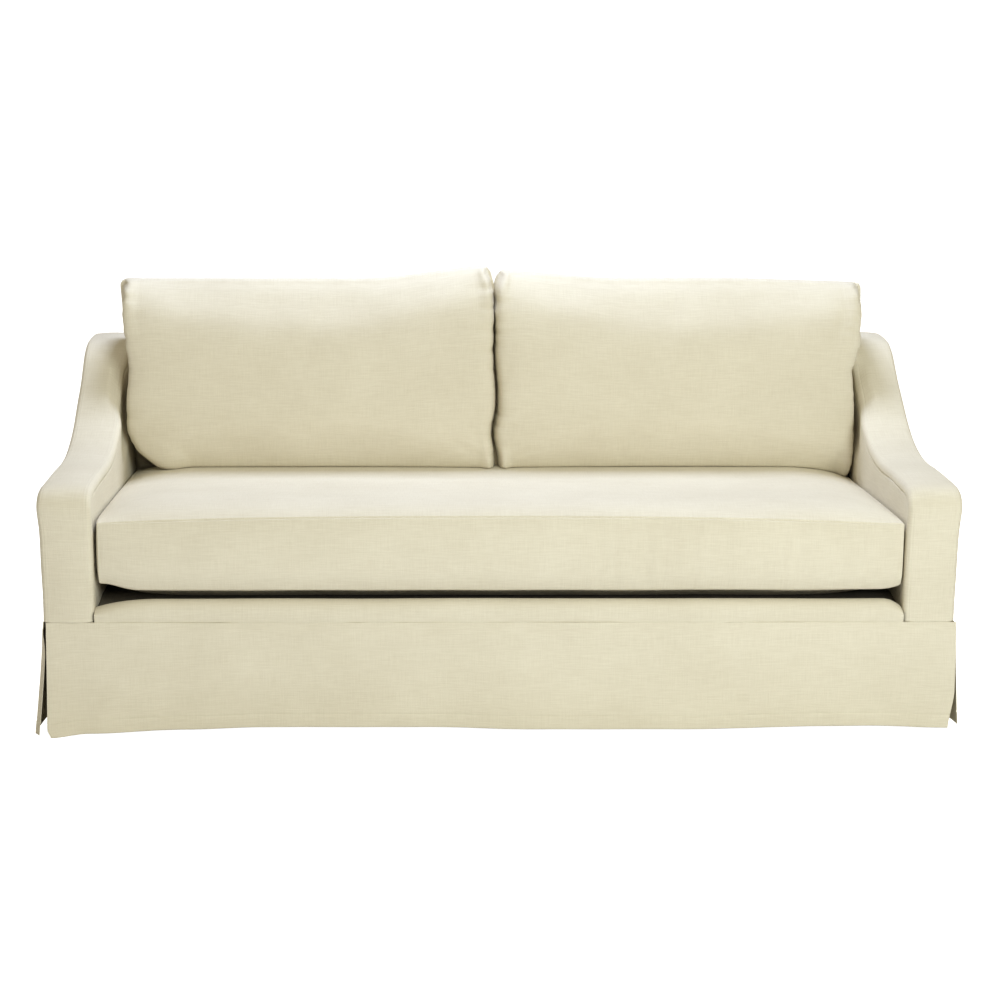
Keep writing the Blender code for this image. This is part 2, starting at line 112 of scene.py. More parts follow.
def smooth_line(points, stops):
    """The places at these distances along a smooth line through two-column points."""
    places = [Vector(point[:2]) for point in points]
    last = len(places) - 1
    marks = [0.0]
    for start, end in zip(places, places[1:]):
        marks.append(marks[-1] + (end - start).length)
    slopes = []
    for i in range(last + 1):
        before, after = max(i - 1, 0), min(i + 1, last)
        slopes.append((places[after] - places[before]) / (marks[after] - marks[before]))
    line, i = [], 0
    for stop in stops:
        while i < last - 1 and stop > marks[i + 1]:
            i += 1
        wide = marks[i + 1] - marks[i]
        t = (stop - marks[i]) / wide
        line.append(
            places[i] * (2 * t**3 - 3 * t**2 + 1)
            + slopes[i] * (wide * (t**3 - 2 * t**2 + t))
            + places[i + 1] * (3 * t**2 - 2 * t**3)
            + slopes[i + 1] * (wide * (t**3 - t**2))
        )
    return line


SEAM_STOPS = (0.0, 0.0012, 0.0026, 0.0045, 0.0075, 0.012)


def stops_along(total, step):
    """Distances across a panel, closer together beside its two ends, where the seams are."""
    inner = total - 2 * SEAM_STOPS[-1]
    count = max(1, round(inner / step))
    middle = [SEAM_STOPS[-1] + inner * i / count for i in range(1, count)]
    return [*SEAM_STOPS, *middle, *(total - stop for stop in reversed(SEAM_STOPS))]


def drift(u, v, size, depth, seed):
    """Slow unevenness of a cloth over its padding."""
    return depth * noise.noise(Vector((u / size, v / size, seed)))


def pucker(along, away, size, reach, depth, seed):
    """Small gathers beside a seam that fade away from it."""
    return depth * bell(away, reach) * noise.noise(Vector((along / size, away / (3 * size), seed)))


def groove(away, width, depth):
    """A sewn line: the cloth is drawn in on it and stands a little proud beside it."""
    return depth * (0.35 * bell(abs(away) - 2.2 * width, 1.3 * width) - bell(away, width))


def seam(away):
    """The plain seam between two panels."""
    return groove(away, SEAM_WIDE, SEAM_DEEP)


def creased(u, v, creases):
    """Soft troughs, or ridges where the depth is below 0, along straight lines in the cloth."""
    total = 0.0
    for row in creases:
        run_u, run_v = row.to_u - row.from_u, row.to_v - row.from_v
        long = math.hypot(run_u, run_v)
        share = ((u - row.from_u) * run_u + (v - row.from_v) * run_v) / long**2
        if 0.0 < share < 1.0:
            away = ((u - row.from_u) * run_v - (v - row.from_v) * run_u) / long
            total -= row.depth * bell(away, row.width) * math.sin(math.pi * share) ** 0.8
    return total


def linen_group():
    """Slubby plain weave: uneven weft threads, finer warp threads and a slow change of tone."""
    group = bpy.data.node_groups.new("slubby_linen", "ShaderNodeTree")
    face = group.interface
    face.new_socket("Cloth", in_out="INPUT", socket_type="NodeSocketVector")
    face.new_socket("Light thread", in_out="INPUT", socket_type="NodeSocketColor")
    face.new_socket("Dark thread", in_out="INPUT", socket_type="NodeSocketColor")
    face.new_socket("Color", in_out="OUTPUT", socket_type="NodeSocketColor")
    face.new_socket("Height", in_out="OUTPUT", socket_type="NodeSocketFloat")
    face.new_socket("Roughness", in_out="OUTPUT", socket_type="NodeSocketFloat")
    nodes, links = group.nodes, group.links
    start = nodes.new("NodeGroupInput")
    end = nodes.new("NodeGroupOutput")

    def threads(scale, detail, seed):
        """Noise drawn out along the threads. The scale is in cells per metre."""
        mapping = nodes.new("ShaderNodeMapping")
        mapping.inputs["Scale"].default_value = (*scale, 1.0)
        mapping.inputs["Location"].default_value = (0.0, 0.0, seed)
        links.new(start.outputs["Cloth"], mapping.inputs["Vector"])
        cells = nodes.new("ShaderNodeTexNoise")
        cells.inputs["Scale"].default_value = 1.0
        cells.inputs["Detail"].default_value = detail
        cells.inputs["Roughness"].default_value = 0.55
        links.new(mapping.outputs["Vector"], cells.inputs["Vector"])
        return cells.outputs["Fac"]

    def weighed(first, second, weight):
        """The first value plus the second one times its weight."""
        sum_node = nodes.new("ShaderNodeMath")
        sum_node.operation = "MULTIPLY_ADD"
        sum_node.inputs[1].default_value = weight
        links.new(second, sum_node.inputs[0])
        links.new(first, sum_node.inputs[2])
        return sum_node.outputs["Value"]

    weft = threads((26.0, 480.0), 3.0, 3.7)
    warp = threads((560.0, 22.0), 2.0, 9.1)
    fine = threads((1500.0, 1500.0), 1.0, 5.3)
    tone = threads((4.0, 5.5), 3.0, 1.9)

    height = weighed(weighed(weft, warp, 0.7), fine, 0.5)
    mix = weighed(height, tone, 0.9)
    spread = nodes.new("ShaderNodeMapRange")
    spread.inputs["From Min"].default_value = 1.15
    spread.inputs["From Max"].default_value = 1.95
    links.new(mix, spread.inputs["Value"])
    color = nodes.new("ShaderNodeMix")
    color.data_type = "RGBA"
    links.new(spread.outputs["Result"], color.inputs["Factor"])
    links.new(start.outputs["Dark thread"], color.inputs["A"])
    links.new(start.outputs["Light thread"], color.inputs["B"])
    rough = nodes.new("ShaderNodeMapRange")
    rough.inputs["From Min"].default_value = 0.7
    rough.inputs["From Max"].default_value = 1.5
    rough.inputs["To Min"].default_value = 0.97
    rough.inputs["To Max"].default_value = 0.82
    links.new(height, rough.inputs["Value"])
    links.new(color.outputs["Result"], end.inputs["Color"])
    links.new(height, end.inputs["Height"])
    links.new(rough.outputs["Result"], end.inputs["Roughness"])
    return group


SLUBBY_LINEN = linen_group()
LIGHT_CREAM = (0.81, 0.765, 0.645)
DARK_CREAM = (0.705, 0.655, 0.535)


def linen(name, light=LIGHT_CREAM, dark=DARK_CREAM):
    """A weave of two thread colours, read in metres from the piece's cloth map."""
    material = bpy.data.materials.new(name)
    material.use_nodes = True
    nodes, links = material.node_tree.nodes, material.node_tree.links
    shader = nodes["Principled BSDF"]
    shader.inputs["Specular IOR Level"].default_value = 0.25
    shader.inputs["Sheen Weight"].default_value = 0.12
    shader.inputs["Sheen Roughness"].default_value = 0.5
    cut = nodes.new("ShaderNodeUVMap")
    cut.uv_map = "cloth"
    weave = nodes.new("ShaderNodeGroup")
    weave.node_tree = SLUBBY_LINEN
    weave.inputs["Light thread"].default_value = (*light, 1.0)
    weave.inputs["Dark thread"].default_value = (*dark, 1.0)
    relief = nodes.new("ShaderNodeBump")
    relief.inputs["Strength"].default_value = 0.5
    relief.inputs["Distance"].default_value = 0.0005
    links.new(cut.outputs["UV"], weave.inputs["Cloth"])
    links.new(weave.outputs["Color"], shader.inputs["Base Color"])
    links.new(weave.outputs["Roughness"], shader.inputs["Roughness"])
    links.new(weave.outputs["Height"], relief.inputs["Height"])
    links.new(relief.outputs["Normal"], shader.inputs["Normal"])
    return material


COVER_LINEN = linen("linen_cover")


def dress(node, mesh, material):
    """Turns a bmesh into a smooth piece of the cover that stands for a solid."""
    name = "linen_" + node
    data = bpy.data.meshes.new(name)
    mesh.to_mesh(data)
    mesh.free()
    data.shade_smooth()
    data.materials.append(material)
    piece = bpy.data.objects.new(name, data)
    bpy.context.scene.collection.objects.link(piece)
    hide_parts(node)
    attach(piece, "root")
    return piece


def cloth_panel(node, columns, rows, place, cut, folds, facing, material=COVER_LINEN):
    """A sheet of columns x rows points, each put at place(column, row), with its place in the flat cloth
    from cut(column, row), and raised by folds(u, v). Its thickness is on the side away from facing."""
    mesh = bmesh.new()
    bmesh.ops.create_grid(mesh, x_segments=columns - 1, y_segments=rows - 1, size=0.5)
    flat = {}
    for point in mesh.verts:
        column = round((point.co.x + 0.5) * (columns - 1))
        row = round((point.co.y + 0.5) * (rows - 1))
        flat[point] = cut(column, row)
        point.co = place(column, row)
    mesh.normal_update()
    middle = sum((face.normal * face.calc_area() for face in mesh.faces), Vector())
    if middle.dot(Vector(facing)) < 0:
        bmesh.ops.reverse_faces(mesh, faces=mesh.faces)
        mesh.normal_update()
    cloth = mesh.loops.layers.uv.new("cloth")
    for face in mesh.faces:
        for corner in face.loops:
            corner[cloth].uv = flat[corner.vert]
    raised = [(point, point.co + point.normal * folds(*flat[point])) for point in mesh.verts]
    for point, co in raised:
        point.co = co
    piece = dress(node, mesh, material)
    wall = piece.modifiers.new("cloth", "SOLIDIFY")
    wall.thickness = CLOTH
    wall.offset = -1
    return piece


def arm_swell(behind, height):
    """How far the padded arm pushes its cover out: a little all over, and more at the top in front."""
    rear_fade = 1 - eased((behind - 0.55) / 0.25)
    crown = 0.0015 * math.sin(math.pi * min(max((height - SKIRT_SEAM) / 0.32, 0.0), 1.0))
    knob = 0.0045 * bell(height - 0.520, 0.045) * (1 - eased(behind / 0.30))
    return rear_fade * crown + knob


ARM_DIP = 0.018  # the inner edge of a strip sinks this far beside the back cushions
ARM_HOLLOW = {-1: 0.014, 1: 0.011}  # and gives way this far to the side, left and right
BESIDE_CUSHIONS = 0.50  # where both start
EDGE_STOPS = (
    0.028, 0.025, 0.022, 0.018, 0.014, 0.0105, 0.0075,
    0.0055, 0.0042, 0.0030, 0.0018, 0.0005, -0.0015, -0.004,
)
STRIP_MIDDLE = 8


def arm_hollow(side, behind):
    """How far the inside of an arm gives way to the back cushion."""
    start = eased((behind - BESIDE_CUSHIONS) / 0.09)
    return ARM_HOLLOW[side] * start * (1 - eased((behind - 0.660) / 0.050))


def strip_edge(stop, roll):
    """(inset, rise) round a strip's edge, at a distance from where it turns. With no roll it is flat."""
    if stop <= 0:
        return EDGE_ROUND - stop, 0.0
    bend = min(stop / EDGE_ROUND, math.pi / 2)
    lip = max(stop - EDGE_ROUND * math.pi / 2, 0.0)
    inset = roll * EDGE_ROUND * (1 - math.sin(bend)) + (1 - roll) * EDGE_ROUND * (1 - stop / EDGE_LENGTH)
    return inset, -roll * (EDGE_ROUND * (1 - math.cos(bend)) + lip)


def strip_section(behind):
    """(out, rise) across a strip from its outside to its inside edge, which is flat beside the back."""
    rolled = 1 - eased((behind - 0.700) / 0.060)
    turns = [strip_edge(stop, 1.0) for stop in EDGE_STOPS]
    outer = [(OUTER - inset, rise) for inset, rise in turns]
    turns = [strip_edge(stop, rolled) for stop in reversed(EDGE_STOPS)]
    inner = [(INNER + inset, rise) for inset, rise in turns]
    start, wide = outer[-1][0], outer[-1][0] - inner[0][0]
    middle = [(start - wide * (i / (STRIP_MIDDLE + 1)), 0.0) for i in range(1, STRIP_MIDDLE + 1)]
    section = []
    for out, rise in outer + middle + inner:
        share = min(max((out - INNER - EDGE_ROUND) / (OUTER - INNER - 2 * EDGE_ROUND), 0.0), 1.0)
        section.append((out, rise + STRIP_CROWN * 4 * share * (1 - share)))
    return section


ARM_TOTAL = line_length(ARM_LINE + REAR_BEND)
ARM_STOPS = stops_along(ARM_TOTAL, 0.009)
ARM_SMOOTH = smooth_line(ARM_LINE + REAR_BEND, ARM_STOPS)


def arm_normals(line):
    """The outward direction in side view at each place along the arm."""
    normals = []
    for i in range(len(line)):
        run = (line[min(i + 1, len(line) - 1)] - line[max(i - 1, 0)]).normalized()
        normals.append(Vector((-run.y, run.x)))
    return normals


def arm_grid(side):
    """(out, behind, height) of every point of a strip, in rows along the arm."""
    grid = []
    for spot, normal in zip(ARM_SMOOTH, arm_normals(ARM_SMOOTH)):
        row = []
        for out, rise in strip_section(spot.x):
            place = spot + normal * rise
            swell = arm_swell(place.x, place.y) * (out - INNER) / (OUTER - INNER)
            dip = ARM_DIP * eased((place.x - BESIDE_CUSHIONS) / 0.08)
            dip *= (1 - eased((place.x - 0.645) / 0.045)) * eased((INNER + 0.045 - out) / 0.045) ** 1.5
            hollow = arm_hollow(side, place.x) * eased((INNER + 0.060 - out) / 0.050)
            row.append((out + swell + hollow, place.x, place.y - dip))
        grid.append(row)
    return grid


ARM_GRIDS = {side: arm_grid(side) for side in (-1, 1)}
ARM_TURN = min(range(len(ARM_SMOOTH)), key=lambda i: ARM_SMOOTH[i].x)  # where the front meets the top
STRIP_ACROSS = [EDGE_LENGTH - stop for stop in EDGE_STOPS]
STRIP_WIDE = 2 * EDGE_LENGTH + OUTER - INNER - 2 * EDGE_ROUND
STRIP_U = [
    *STRIP_ACROSS,
    *(
        STRIP_ACROSS[-1] + (STRIP_WIDE - 2 * STRIP_ACROSS[-1]) * i / (STRIP_MIDDLE + 1)
        for i in range(1, STRIP_MIDDLE + 1)
    ),
    *(STRIP_WIDE - across for across in reversed(STRIP_ACROSS)),
]
STRIP_SEAM_U = EDGE_LENGTH - EDGE_SEAM
# In the strip's flat cloth: u runs from its outside edge to its inside edge, v from the skirt upwards.
STRIP_CREASES = {
    -1: (
        Crease(0.020, 0.235, 0.120, 0.285, 0.012, 0.0010),
        Crease(0.120, 0.215, 0.060, 0.330, 0.014, 0.0009),
        Crease(0.030, 0.010, 0.040, 0.200, 0.012, 0.0006),
        Crease(0.100, 0.640, 0.050, 0.760, 0.015, 0.0010),
    ),
    1: (
        Crease(0.118, 0.240, 0.050, 0.275, 0.011, 0.0009),
        Crease(0.115, 0.560, 0.060, 0.640, 0.013, 0.0010),
        Crease(0.040, 0.020, 0.055, 0.170, 0.013, 0.0006),
        Crease(0.095, 0.700, 0.055, 0.830, 0.015, 0.0009),
    ),
}


def arm_strip(word, side):
    def place(column, row):
        out, behind, height = ARM_GRIDS[side][column][row]
        return side * out, FRONT_Y + behind, height

    def folds(u, v):
        away = min(u - STRIP_SEAM_U, STRIP_WIDE - STRIP_SEAM_U - u, key=abs)
        beside_back = eased((v - ARM_TOTAL + 0.15) / 0.06) * (u > STRIP_WIDE / 2)
        sewn = groove(away, 0.0012, 0.0005) * (1 - beside_back) + seam(v)
        gathers = pucker(v, away, 0.016, 0.010, 0.0007, 4.0 + side)
        padding = drift(u, v, 0.11, 0.0012, 7.0 + side) + creased(u, v, STRIP_CREASES[side])
        return sewn + gathers + padding

    piece = cloth_panel(
        "arm_strip_" + word,
        len(ARM_SMOOTH),
        len(STRIP_U),
        place,
        lambda column, row: (STRIP_U[row], ARM_STOPS[column]),
        folds,
        (0, -1, 1),
    )


for word, side in SIDES:
    arm_strip(word, side)

# Outside arm panels
# A flat piece of the same linen closes each side of the sofa, from the padded edge of the arm down to the
# skirt, and turns the rear corner to its seam with the back.

CORNER_LIP = 0.008
# In the panel's flat cloth: u runs from the front to the rear, v from the skirt upwards.
LEANING_CREASES = (
    Crease(0.30, 0.29, 0.62, 0.02, 0.045, 0.0014),
    Crease(0.55, 0.40, 0.86, 0.10, 0.050, 0.0016),
)


def hung_from_strip(edge, foot):
    """place(column, row) of a panel on the side of an arm, under one edge of its strip, and its size."""
    front, top = edge[: ARM_TURN + 1], edge[ARM_TURN:]
    corner, rear = top[0], top[-1]
    rows = [max(0.0, (point[2] - foot) / (corner[2] - foot)) for point in front]

    def place(column, row):
        out, behind, height = top[column]
        even = corner[1] + (rear[1] - corner[1]) * column / (len(top) - 1)
        behind += 0.5 * (1 - rows[row]) * (even - behind)
        fade = 1 - eased((even - corner[1]) / 0.15)
        behind += fade * (front[row][1] - corner[1])
        return out, behind, foot + rows[row] * (height - foot)

    return place, len(top), len(rows)


def outside_arm(word, side):
    hung, flat_columns, rows = hung_from_strip([row[0] for row in ARM_GRIDS[side]], SKIRT_SEAM)
    corner = [(out, behind) for out, behind, _ in ARM_GRIDS[side][-1][1:10:2]]
    corner.append((corner[-1][0] - CORNER_LIP, DEPTH))

    def spot(column, row):
        out, behind, height = hung(min(column, flat_columns - 1), row)
        out = OUTER + arm_swell(behind, height)
        turned = 0.0
        if column >= flat_columns:
            out, end = corner[column - flat_columns]
            turned = OUTER - out
            behind = end
        return out, behind, height, turned

    def place(column, row):
        out, behind, height, _ = spot(column, row)
        return side * out, FRONT_Y + behind, height

    def cut(column, row):
        _, behind, height, turned = spot(column, row)
        return behind + turned, height - SKIRT_SEAM

    def folds(u, v):
        foot = seam(v) + pucker(u, v, 0.030, 0.020, 0.0008, 2.0 + side)
        return foot + creased(u, v, LEANING_CREASES) + drift(u, v, 0.22, 0.0022, 11.0 + side)

    piece = cloth_panel(
        "outside_arm_" + word,
        flat_columns + len(corner),
        rows,
        place,
        cut,
        folds,
        (side, 0, 0),
    )


for word, side in SIDES:
    outside_arm(word, side)

# Inside arm panels
# The same linen lines the inside of each arm, from the padded edge down beside the seat cushion to the
# rail, and back behind the back cushions, where it is sewn to the inside back.

INSIDE_ARM_REAR = 0.786
HOLLOW_DOWN = 0.060  # the hollow beside a back cushion is full this far down, and gone at twice that


def inside_arm(word, side):
    edge = [row[-1] for row in ARM_GRIDS[side] if row[-1][1] < INSIDE_ARM_REAR]
    hung, columns, rows = hung_from_strip(edge, SKIRT_SEAM)

    def place(column, row):
        _, behind, height = hung(column, row)
        below = edge[ARM_TURN + column][2] - height
        out = INNER + arm_hollow(side, behind) * (1 - eased((below - HOLLOW_DOWN) / HOLLOW_DOWN))
        return side * out, FRONT_Y + behind, height - CLOTH * eased((behind - 0.690) / 0.030)

    def cut(column, row):
        _, behind, height = hung(column, row)
        return behind, height - SKIRT_SEAM

    piece = cloth_panel(
        "inside_arm_" + word,
        columns,
        rows,
        place,
        cut,
        lambda u, v: drift(u, v, 0.16, 0.0010, 21.0 + side) - 0.0006,
        (-side, 0, 0),
    )


for word, side in SIDES:
    inside_arm(word, side)

# Inside back
# One linen panel stands behind the back cushions, goes over the padded top of the back and ends just down
# the rear, where it is sewn to the outside back.

DECK = 0.291
INSIDE_BACK = (
    SidePoint(0.745, DECK),
    SidePoint(0.7575, 0.500),
    SidePoint(0.7710, 0.740),
    SidePoint(0.7740, 0.772),
    SidePoint(0.7860, 0.7930),
    SidePoint(0.8100, 0.8000),
) + REAR_BEND
BETWEEN = stops_along(2 * INNER, 0.014)


def level(out, behind, height):
    return 0.0


def between_arms(node, points, step, lift, folds, facing, length):
    """A panel from arm to arm that follows a line in side view, which lift may move up or down."""
    total = line_length(points)
    down = stops_along(total, step)
    line = smooth_line(points, down)

    def place(column, row):
        out = BETWEEN[column] - INNER
        behind, height = line[row]
        return out, FRONT_Y + behind, height + lift(out, behind, height)

    piece = cloth_panel(
        node,
        len(BETWEEN),
        len(down),
        place,
        lambda column, row: (BETWEEN[column], down[row]),
        folds,
        facing,
    )
    return piece


def back_folds(u, v):
    sides = min(u, 2 * INNER - u)
    gathers = pucker(v, sides, 0.02, 0.012, 0.0006, 33.0)
    return drift(u, v, 0.25, 0.0020, 31.0) + groove(sides, 0.0020, 0.0010) + gathers


between_arms("inside_back", INSIDE_BACK, 0.010, level, back_folds, (0, -1, 1), line_length(INSIDE_BACK))

# Seat deck and front band
# The deck is the platform under the seat cushion, of plain platform cloth coloured near black: this is
# painted shade, which keeps the slot under the seat cushion dark. The linen front band rolls over the
# padded front rail, drops at both ends beside the arms, and is sewn to the platform cloth behind the rail
# and to the skirt along its foot.

DECK_START = 0.140
SHADE_CLOTH_START = 0.036  # behind the front, where the near-black platform cloth (painted shade) starts
BAND_FOOT = 0.262  # the band is fixed below this height
BAND_TOP = 0.305
BAND_END_DIP = 0.022
BAND_END_RUN = (0.160, 0.050)  # left and right
FRONT_BAND = (
    SidePoint(0.0003, 0.2552),
    SidePoint(-0.0035, 0.274),
    SidePoint(-0.0010, 0.291),
    SidePoint(0.0080, 0.3010),
    SidePoint(0.0240, BAND_TOP),
    SidePoint(0.0370, 0.3010),
    SidePoint(0.0500, 0.2930),
    SidePoint(0.0700, 0.2885),
    SidePoint(0.1050, 0.2890),
    SidePoint(DECK_START, DECK),
)


def band_dip(out, behind, height):
    """How far the band drops near its two ends."""
    end = max(0.0, 1 - (INNER - abs(out)) / BAND_END_RUN[out > 0]) ** 2.5
    rise = (height - BAND_FOOT) / (BAND_TOP - BAND_FOOT)
    return -BAND_END_DIP * end * eased(rise) * (1 - eased(behind / DECK_START))


def band_folds(u, v):
    gathers = pucker(u, v, 0.045, 0.016, 0.0012, 41.0) * eased(v / 0.010)
    return groove(v, SEAM_WIDE, FLAT_SEAM_DEEP) + gathers + drift(u, v * 3, 0.30, 0.0016, 43.0)


# Near-black platform cloth: painted shade that keeps the slot under the seat cushion dark.
DECK_SHADE_CLOTH = linen("deck_painted_shade_cloth", (0.16, 0.135, 0.10), (0.10, 0.085, 0.06))
front_band = between_arms(
    "front_band",
    FRONT_BAND,
    0.006,
    band_dip,
    band_folds,
    (0, -1, 1),
    line_length(FRONT_BAND),
)
deck = between_arms(
    "deck",
    (SidePoint(DECK_START, DECK), SidePoint(INSIDE_BACK[0].behind, DECK)),
    0.020,
    level,
    lambda u, v: drift(u, v, 0.3, 0.0010, 47.0) - 0.0008,
    (0, 0, 1),
    0.605,
)
# The whole deck and the band behind its crest get the near-black cloth: painted shade in the slot.
for piece in (front_band, deck):
    piece.data.materials.append(DECK_SHADE_CLOTH)
    for face in piece.data.polygons:
        face.material_index = int(face.center.y > FRONT_Y + SHADE_CLOTH_START)

# Outside back
# One plain linen panel covers the back, between the two outside arms. It hangs from the seam that joins it
# to the inside back, just below the rear edge.

BACK_HALF = OUTER - EDGE_ROUND - CORNER_LIP
BACK_ACROSS = stops_along(2 * BACK_HALF, 0.014)
BACK_UP = stops_along(REAR_SEAM - SKIRT_SEAM, 0.012)
BACK_CREASES = (
    Crease(0.10, 0.44, 0.52, 0.06, 0.050, 0.0018),
    Crease(1.86, 0.46, 1.50, 0.10, 0.045, 0.0016),
    Crease(0.80, 0.48, 0.92, 0.04, 0.060, 0.0014),
    Crease(1.28, 0.47, 1.18, 0.10, 0.050, 0.0012),
)


def outside_back_folds(u, v):
    edge = min(u, 2 * BACK_HALF - u)
    top = REAR_SEAM - SKIRT_SEAM - v
    seams = seam(edge) + seam(top) + seam(v)
    gathers = pucker(v, edge, 0.020, 0.014, 0.0009, 53.0) + pucker(u, top, 0.024, 0.016, 0.0009, 57.0)
    return seams + gathers + creased(u, v, BACK_CREASES) + drift(u, v, 0.26, 0.0024, 59.0)


outside_back = cloth_panel(
    "outside_back",
    len(BACK_ACROSS),
    len(BACK_UP),
    lambda column, row: (BACK_ACROSS[column] - BACK_HALF, FRONT_Y + DEPTH, SKIRT_SEAM + BACK_UP[row]),
    lambda column, row: (BACK_ACROSS[column], BACK_UP[row]),
    outside_back_folds,
    (0, 1, 0),
)

# Skirt
# Four linen panels hang from one seam round the sofa, nearly to the floor. They are open at the corners,
# each has a turned hem along its foot and its ends, and each hangs a little unevenly.

# Along each panel: how far it stands off at its hem, and the height of the hem.
SkirtPoint = namedtuple("SkirtPoint", "at flare hem")
FRONT_SKIRT = (
    SkirtPoint(-1.010, 0.0345, 0.0005),
    SkirtPoint(-0.920, 0.0200, 0.006),
    SkirtPoint(-0.710, 0.0060, 0.011),
    SkirtPoint(-0.530, 0.0010, 0.015),
    SkirtPoint(-0.170, 0.0010, 0.015),
    SkirtPoint(0.090, 0.0070, 0.011),
    SkirtPoint(0.450, 0.0080, 0.011),
    SkirtPoint(0.720, 0.0010, 0.016),
    SkirtPoint(0.860, 0.0010, 0.016),
    SkirtPoint(1.016, 0.0060, 0.013),
)
LEFT_SKIRT = (
    SkirtPoint(0.000, 0.0180, 0.004),
    SkirtPoint(0.020, 0.0205, 0.005),
    SkirtPoint(0.150, 0.0100, 0.010),
    SkirtPoint(0.350, 0.0050, 0.013),
    SkirtPoint(0.600, 0.0080, 0.011),
    SkirtPoint(DEPTH, 0.0140, 0.006),
)
RIGHT_SKIRT = (
    SkirtPoint(0.000, 0.0150, 0.019),
    SkirtPoint(0.120, 0.0100, 0.014),
    SkirtPoint(0.400, 0.0050, 0.012),
    SkirtPoint(0.650, 0.0090, 0.012),
    SkirtPoint(DEPTH, 0.0180, 0.007),
)
BACK_SKIRT = (
    SkirtPoint(-1.010, 0.0095, 0.005),
    SkirtPoint(-0.600, 0.0040, 0.012),
    SkirtPoint(0.000, 0.0070, 0.010),
    SkirtPoint(0.550, 0.0030, 0.013),
    SkirtPoint(1.010, 0.0095, 0.006),
)
SKIRT_END = 1.008
RIGHT_SKIRT_END = 1.018
HEM_DEEP = 0.030
SIDE_HEM_DEEP = 0.018
SKIRT_DOWN = (*SEAM_STOPS, 0.018, *(0.026 + 0.008 * i for i in range(23)))
HEM_UP = (0.036, 0.033, 0.0315, 0.030, 0.0285, 0.026, 0.021, 0.015, 0.008, 0.003, 0.0)
FLARE_POWER = 1.3  # a skirt hangs straighter near its seam than near its hem
END_POWER = 8  # what a skirt's free end does fades this quickly along the panel
SKIRT_LINEN = linen("linen_skirt")


def table_value(rows, at, column):
    """A column of a skirt table at any place between its rows, eased from row to row."""
    if at <= rows[0].at:
        return getattr(rows[0], column)
    for start, end in zip(rows, rows[1:]):
        if at <= end.at:
            share = eased((at - start.at) / (end.at - start.at))
            return getattr(start, column) + share * (getattr(end, column) - getattr(start, column))
    return getattr(rows[-1], column)


def skirt_drop(height):
    """Share of the way from the skirt's seam to the floor."""
    return 1 - height / SKIRT_SEAM


def stand_off(height, flare):
    """How far a skirt stands off the body at a height, for its flare at the hem."""
    drop = skirt_drop(height)
    return 0.0003 + 0.003 * eased(drop / 0.12) + flare * drop**FLARE_POWER


def skirt_height(rows, at, row):
    """The height of a row of a skirt. The lowest rows follow the hem."""
    long = SKIRT_SEAM - table_value(rows, at, "hem")
    if row < len(SKIRT_DOWN):
        return SKIRT_SEAM - SKIRT_DOWN[row] * (long - HEM_UP[0]) / (SKIRT_DOWN[-1] + 0.006)
    return SKIRT_SEAM - long + HEM_UP[row - len(SKIRT_DOWN)]


def skirt_folds(wide, seed):
    """Folds of a skirt in its flat cloth: its hems, the seam it hangs from, and a soft wave."""

    def folds(u, v):
        end, top = min(u, wide - u), SKIRT_SEAM - v
        hem = -0.0009 * bell(v - HEM_DEEP, 0.0016) + 0.0005 * eased((HEM_DEEP - v) / 0.004)
        side_hem = -0.0006 * bell(end - SIDE_HEM_DEEP, 0.0016) + 0.0004 * eased((SIDE_HEM_DEEP - end) / 0.003)
        gathers = pucker(u, top, 0.060, 0.030, 0.0022, seed) * eased(top / 0.015)
        gathers += pucker(u, v - HEM_DEEP, 0.012, 0.008, 0.0004, seed + 2)
        wave = drift(u, v * 0.35, 0.16, 0.0030 * (1 - v / SKIRT_SEAM), seed + 4)
        soft = wave + drift(u, v, 0.07, 0.0007, seed + 6)
        return hem + side_hem * (v < 0.235) + gathers + groove(top, SEAM_WIDE, FLAT_SEAM_DEEP) + soft

    return folds


def skirt_panel(node, columns, wide, place, facing, seed):
    rows = len(SKIRT_DOWN) + len(HEM_UP)
    piece = cloth_panel(
        node,
        len(columns),
        rows,
        place,
        lambda column, row: (columns[column], place(column, row)[2] - place(column, rows - 1)[2]),
        skirt_folds(wide, seed),
        facing,
        SKIRT_LINEN,
    )


FRONT_WIDE = SKIRT_END + RIGHT_SKIRT_END
FRONT_COLUMNS = stops_along(FRONT_WIDE, 0.010)


def front_skirt_place(column, row):
    share = FRONT_COLUMNS[column] / FRONT_WIDE
    at = FRONT_COLUMNS[column] - SKIRT_END
    height = skirt_height(FRONT_SKIRT, at, row)
    drop = skirt_drop(height)
    right = 0.004 * drop - 0.014 * eased((drop - 0.60) / 0.40)
    left = 0.001 * drop + 0.008 * eased((drop - 0.90) / 0.10) ** 2
    shift = right * share**END_POWER + left * (1 - share) ** END_POWER
    return at + shift, FRONT_Y - stand_off(height, table_value(FRONT_SKIRT, at, "flare")), height


skirt_panel("skirt_front", FRONT_COLUMNS, FRONT_WIDE, front_skirt_place, (0, -1, 0), 61.0)

SIDE_GAP = 0.004  # left open at both ends of a side skirt
SIDE_WIDE = DEPTH - 2 * SIDE_GAP
SIDE_COLUMNS = stops_along(SIDE_WIDE, 0.012)
